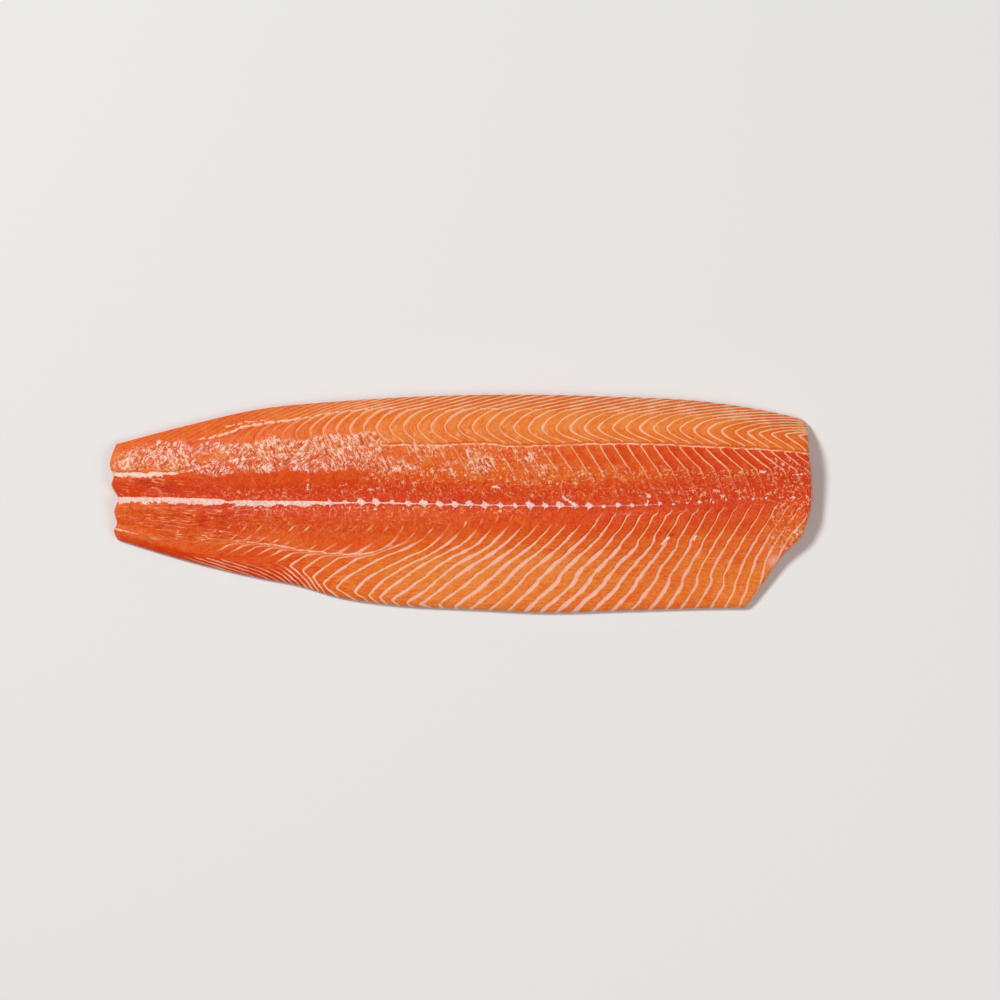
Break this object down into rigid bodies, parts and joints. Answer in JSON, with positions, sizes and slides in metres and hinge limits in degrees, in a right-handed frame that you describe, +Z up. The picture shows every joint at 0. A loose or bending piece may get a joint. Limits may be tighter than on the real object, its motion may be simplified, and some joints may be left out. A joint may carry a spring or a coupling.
{
  "type": "raw salmon fillet",
  "caption": "Whole trimmed side of raw salmon lying flat with its flesh side up: orange flesh with pale fat lines, a square tail cut and a slanting head cut.",
  "frame": {"origin": "under the middle of the fillet's outline, on its flat underside", "axes": "+X to the head end, +Y to the back (dorsal) edge, +Z up through the flesh side"},
  "size_m": [0.5618, 0.1744, 0.028],
  "materials": {
    "flesh": "wet raw flesh, satin to glossy, orange with pale fat lines and a redder band along the middle"
  },
  "bodies": {
    "root": {"fillet": "flesh"}
  },
  "joints": []
}
